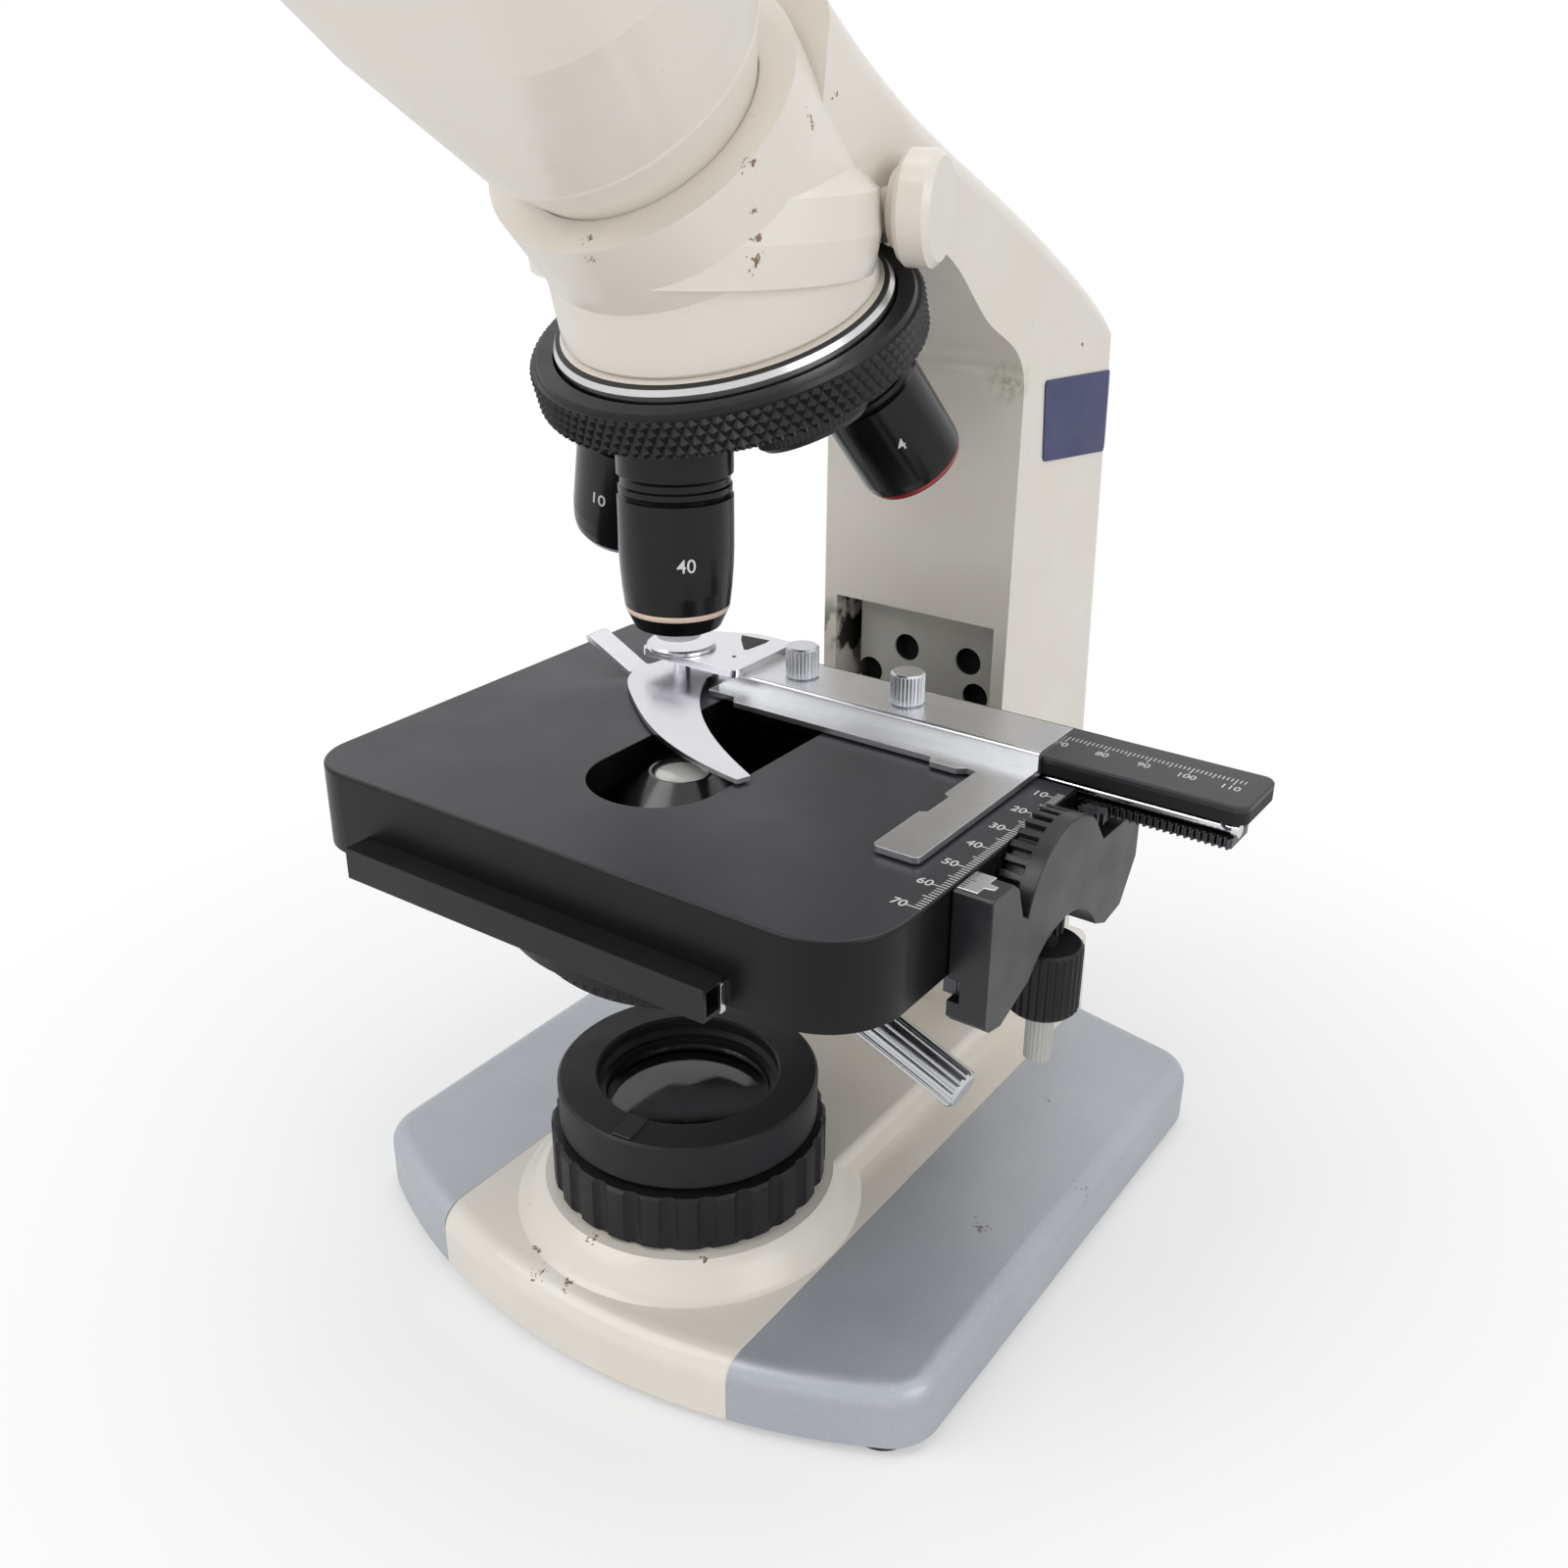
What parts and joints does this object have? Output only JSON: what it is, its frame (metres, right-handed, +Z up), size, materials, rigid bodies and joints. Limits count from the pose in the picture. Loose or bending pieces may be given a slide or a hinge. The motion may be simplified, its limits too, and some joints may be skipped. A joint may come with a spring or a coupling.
{
  "type": "binocular compound microscope",
  "caption": "Bench microscope with inclined binocular head, five-port revolving nosepiece, geared mechanical stage, helicoid condenser and built-in base illuminator",
  "frame": {"origin": "on the table plane, under the optical axis of nosepiece and field lens", "axes": "+X to the right of the user, +Y away from the user toward the column, +Z up"},
  "size_m": [0.2082, 0.2901, 0.4059],
  "materials": {
    "stand_casting": "fine-grained cream enamel",
    "base_wing_left": "fine-grained cream enamel",
    "base_wing_right": "fine-grained cream enamel",
    "bottom_plate": "black enamel",
    "rubber_feet": "matt black rubber",
    "plate_screws": "polished",
    "collector_mirror": "silvered",
    "halogen_lamp": "clear",
    "lamp_socket": "matt black",
    "power_board": "circuit board green",
    "power_inlet": "matt black",
    "switch_frame": "matt black",
    "collector_housing": "satin black",
    "field_lens": "clear",
    "focus_guide": "machined",
    "nosepiece_base": "polished",
    "rocker_switch": "matt black",
    "dimmer_wheel": "matt black",
    "field_diaphragm_ring": "satin black",
    "head_clamp_knob": "fine-grained cream enamel",
    "focus_slide": "dull olive grey",
    "focus_rack": "machined",
    "stage_carrier": "satin black",
    "y_rack": "machined",
    "coarse_knob": "matt black",
    "fine_knob": "matt black",
    "condenser_body": "satin black",
    "condenser_lens": "clear",
    "condenser_ring": "satin black",
    "condenser_lever": "satin",
    "iris_ring": "matt black",
    "stage_plate": "satin black",
    "front_rail": "satin black",
    "drive_bracket": "satin black",
    "y_knob": "matt black",
    "x_knob": "satin",
    "x_idler_front": "machined",
    "x_idler_middle": "machined",
    "x_idler_rear": "machined",
    "x_ruler": "satin black",
    "x_rack": "machined",
    "guide_rod": "polished",
    "slide_holder": "satin",
    "thumb_screws": "satin",
    "lever_plate": "satin",
    "finger_pivot": "satin",
    "slide_finger": "satin",
    "revolving_turret": "satin black",
    "objective_high": "black with bright tip",
    "objective_middle": "black with bright tip",
    "objective_low": "black with bright tip",
    "port_plugs": "satin black",
    "head_housing": "fine-grained cream enamel",
    "eyetube_left": "fine-grained cream enamel",
    "eyetube_right": "fine-grained cream enamel",
    "eyepiece_left": "satin black",
    "eyecup_left": "matt black rubber",
    "eyepiece_right": "satin black",
    "eyecup_right": "matt black rubber",
    "diopter_ring": "satin black"
  },
  "bodies": {
    "stand": {"stand_casting": "stand_casting", "base_wing_left": "base_wing_left", "base_wing_right": "base_wing_right", "bottom_plate": "bottom_plate", "rubber_feet": "rubber_feet", "plate_screws": "plate_screws", "collector_mirror": "collector_mirror", "halogen_lamp": "halogen_lamp", "lamp_socket": "lamp_socket", "power_board": "power_board", "power_inlet": "power_inlet", "switch_frame": "switch_frame", "collector_housing": "collector_housing", "field_lens": "field_lens", "focus_guide": "focus_guide", "nosepiece_base": "nosepiece_base"},
    "rocker": {"rocker_switch": "rocker_switch"},
    "dimmer": {"dimmer_wheel": "dimmer_wheel"},
    "field_ring": {"field_diaphragm_ring": "field_diaphragm_ring"},
    "clamp_knob": {"head_clamp_knob": "head_clamp_knob"},
    "focus_block": {"focus_slide": "focus_slide", "focus_rack": "focus_rack", "stage_carrier": "stage_carrier", "y_rack": "y_rack"},
    "coarse": {"coarse_knob": "coarse_knob"},
    "fine": {"fine_knob": "fine_knob"},
    "condenser": {"condenser_body": "condenser_body", "condenser_lens": "condenser_lens"},
    "condenser_turn": {"condenser_ring": "condenser_ring", "condenser_lever": "condenser_lever"},
    "iris": {"iris_ring": "iris_ring"},
    "stage": {"stage_plate": "stage_plate", "front_rail": "front_rail", "drive_bracket": "drive_bracket"},
    "y_drive": {"y_knob": "y_knob"},
    "x_drive": {"x_knob": "x_knob"},
    "idler_front": {"x_idler_front": "x_idler_front"},
    "idler_middle": {"x_idler_middle": "x_idler_middle"},
    "idler_rear": {"x_idler_rear": "x_idler_rear"},
    "carriage": {"x_ruler": "x_ruler", "x_rack": "x_rack", "guide_rod": "guide_rod", "slide_holder": "slide_holder", "thumb_screws": "thumb_screws", "lever_plate": "lever_plate", "finger_pivot": "finger_pivot"},
    "finger": {"slide_finger": "slide_finger"},
    "turret": {"revolving_turret": "revolving_turret", "objective_high": "objective_high", "objective_middle": "objective_middle", "objective_low": "objective_low", "port_plugs": "port_plugs"},
    "head": {"head_housing": "head_housing"},
    "tube_left": {"eyetube_left": "eyetube_left"},
    "tube_right": {"eyetube_right": "eyetube_right"},
    "ocular_left": {"eyepiece_left": "eyepiece_left", "eyecup_left": "eyecup_left"},
    "ocular_right": {"eyepiece_right": "eyepiece_right", "eyecup_right": "eyecup_right"},
    "diopter": {"diopter_ring": "diopter_ring"}
  },
  "joints": [
    {"name": "switch_rock", "type": "hinge", "parent": "stand", "child": "rocker", "pos_m": [0, 0.16368, 0.052], "axis": [1, 0, 0], "range_deg": [-8, 8]},
    {"name": "dimmer_turn", "type": "hinge", "parent": "stand", "child": "dimmer", "pos_m": [-0.0782, 0.02, 0.01], "axis": [0, 0, 1], "range_deg": [0, 270]},
    {"name": "field_diaphragm_turn", "type": "hinge", "parent": "stand", "child": "field_ring", "pos_m": [0, 0, 0.035], "axis": [0, 0, 1], "range_deg": [-45, 45]},
    {"name": "head_clamp_turn", "type": "hinge", "parent": "stand", "child": "clamp_knob", "pos_m": [0.0315, 0.0345, 0.262], "axis": [0.9659, 0.2588, 0], "range_deg": [-360, 90]},
    {"name": "focus_travel", "type": "slide", "parent": "stand", "child": "focus_block", "axis": [0, 0, 1], "range_m": [-0.003, 0.027]},
    {"name": "coarse_turn", "type": "hinge", "parent": "stand", "child": "coarse", "pos_m": [-0.03, 0.1364, 0.07], "axis": [1, 0, 0], "range_deg": [-194, 22]},
    {"name": "fine_turn", "type": "hinge", "parent": "coarse", "child": "fine", "pos_m": [-0.06, 0.1364, 0.07], "axis": [1, 0, 0], "continuous": true},
    {"name": "condenser_travel", "type": "slide", "parent": "focus_block", "child": "condenser", "axis": [0, 0, 1], "range_m": [-0.018, 0]},
    {"name": "condenser_lever_turn", "type": "hinge", "parent": "condenser", "child": "condenser_turn", "pos_m": [0, 0, 0.1], "axis": [0, 0, 1], "range_deg": [-90.5, 0.5]},
    {"name": "iris_turn", "type": "hinge", "parent": "condenser", "child": "iris", "pos_m": [0, 0, 0.093], "axis": [0, 0, 1], "range_deg": [-45, 45]},
    {"name": "stage_y_travel", "type": "slide", "parent": "focus_block", "child": "stage", "axis": [0, 1, 0], "range_m": [-0.028, 0.008]},
    {"name": "y_knob_turn", "type": "hinge", "parent": "stage", "child": "y_drive", "pos_m": [0.086, 0.0195, 0.11], "axis": [0, 0, 1], "range_deg": [-536, 154]},
    {"name": "stage_x_travel", "type": "slide", "parent": "stage", "child": "carriage", "axis": [1, 0, 0], "range_m": [-0.028, 0.009]},
    {"name": "x_knob_turn", "type": "hinge", "parent": "stage", "child": "x_drive", "pos_m": [0.086, 0.0195, 0.1], "axis": [0, 0, 1], "range_deg": [-536, 173]},
    {"name": "idler_front_turn", "type": "hinge", "parent": "stage", "child": "idler_front", "pos_m": [0.086, 0.0255, 0.138], "axis": [0, 0, 1], "range_deg": [-173, 536]},
    {"name": "idler_middle_turn", "type": "hinge", "parent": "stage", "child": "idler_middle", "pos_m": [0.086, 0.0315, 0.138], "axis": [0, 0, 1], "range_deg": [-536, 173]},
    {"name": "idler_rear_turn", "type": "hinge", "parent": "stage", "child": "idler_rear", "pos_m": [0.086, 0.0375, 0.138], "axis": [0, 0, 1], "range_deg": [-173, 536]},
    {"name": "finger_swing", "type": "hinge", "parent": "carriage", "child": "finger", "pos_m": [-0.033, 0.042, 0.146], "axis": [0, 0, 1], "range_deg": [-25, 0], "stiffness_Nm_per_rad": 0.03, "springref_deg": 28.65},
    {"name": "turret_turn", "type": "hinge", "parent": "stand", "child": "turret", "pos_m": [0, 0.0208, 0.2308], "axis": [0, -0.342, 0.9397], "continuous": true},
    {"name": "head_turn", "type": "hinge", "parent": "stand", "child": "head", "pos_m": [0, -0.0091, 0.28], "axis": [0, -0.7071, 0.7071], "continuous": true},
    {"name": "right_tube_swing", "type": "hinge", "parent": "head", "child": "tube_right", "pos_m": [0, -0.06638, 0.32172], "axis": [0, -0.7071, 0.7071], "range_deg": [-26, 8]},
    {"name": "left_tube_swing", "type": "hinge", "parent": "head", "child": "tube_left", "pos_m": [0, -0.06638, 0.32172], "axis": [0, -0.7071, 0.7071], "range_deg": [-8, 26]},
    {"name": "right_eyepiece_lift", "type": "slide", "parent": "tube_right", "child": "ocular_right", "axis": [0, -0.7071, 0.7071], "range_m": [0, 0.03]},
    {"name": "left_eyepiece_lift", "type": "slide", "parent": "tube_left", "child": "ocular_left", "axis": [0, -0.7071, 0.7071], "range_m": [0, 0.03]},
    {"name": "diopter_turn", "type": "hinge", "parent": "tube_left", "child": "diopter", "pos_m": [-0.031, -0.07205, 0.35847], "axis": [0, -0.7071, 0.7071], "range_deg": [-90, 90]}
  ],
  "couplings": [
    {"joint": "coarse_turn", "follows": "focus_travel", "rad_per_m": -125},
    {"joint": "condenser_lever_turn", "follows": "condenser_travel", "rad_per_m": 87.266},
    {"joint": "y_knob_turn", "follows": "stage_y_travel", "rad_per_m": 333.33},
    {"joint": "x_knob_turn", "follows": "stage_x_travel", "rad_per_m": 333.33},
    {"joint": "idler_front_turn", "follows": "stage_x_travel", "rad_per_m": -333.33},
    {"joint": "idler_middle_turn", "follows": "stage_x_travel", "rad_per_m": 333.33},
    {"joint": "idler_rear_turn", "follows": "stage_x_travel", "rad_per_m": -333.33},
    {"joint": "left_tube_swing", "follows": "right_tube_swing", "ratio": -1}
  ]
}
